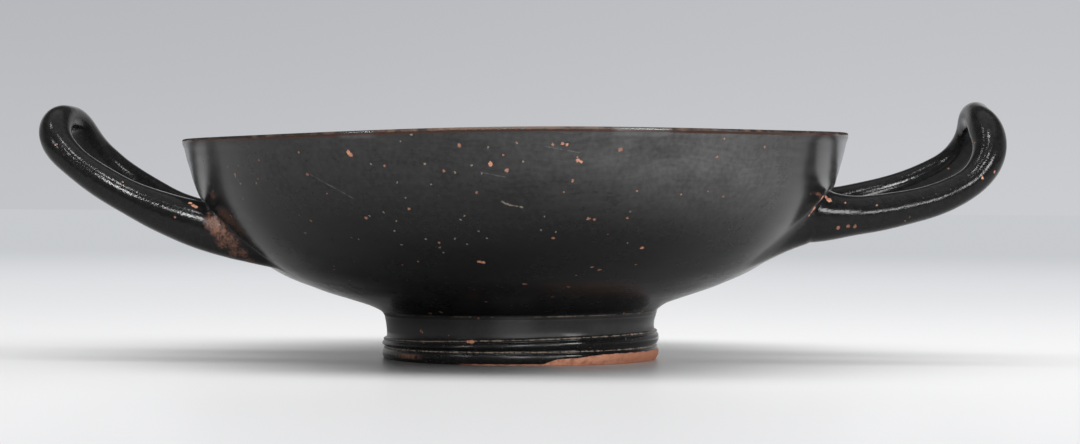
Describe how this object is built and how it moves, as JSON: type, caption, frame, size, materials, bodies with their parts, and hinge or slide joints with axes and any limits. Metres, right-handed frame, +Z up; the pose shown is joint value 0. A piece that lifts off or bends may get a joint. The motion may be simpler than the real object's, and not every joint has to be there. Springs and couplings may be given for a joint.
{
  "type": "kylix cup",
  "caption": "Shallow stemless drinking cup in black-glazed pottery, on a low moulded ring foot, with an upturned loop handle on each side.",
  "frame": {"origin": "on the table under the centre of the cup, where its ring foot rests", "axes": "+Z up; +X out through one handle and -X through the other; Y across the bowl, with the side that shows the bare clay on the foot towards -Y"},
  "size_m": [0.2592, 0.18, 0.07],
  "materials": {
    "black_gloss_clay": "black gloss slip over orange-brown clay, semi-gloss, worn to the clay at the rim, the handle roots and along the foot"
  },
  "bodies": {
    "root": {"kylix_cup": "black_gloss_clay"}
  },
  "joints": []
}
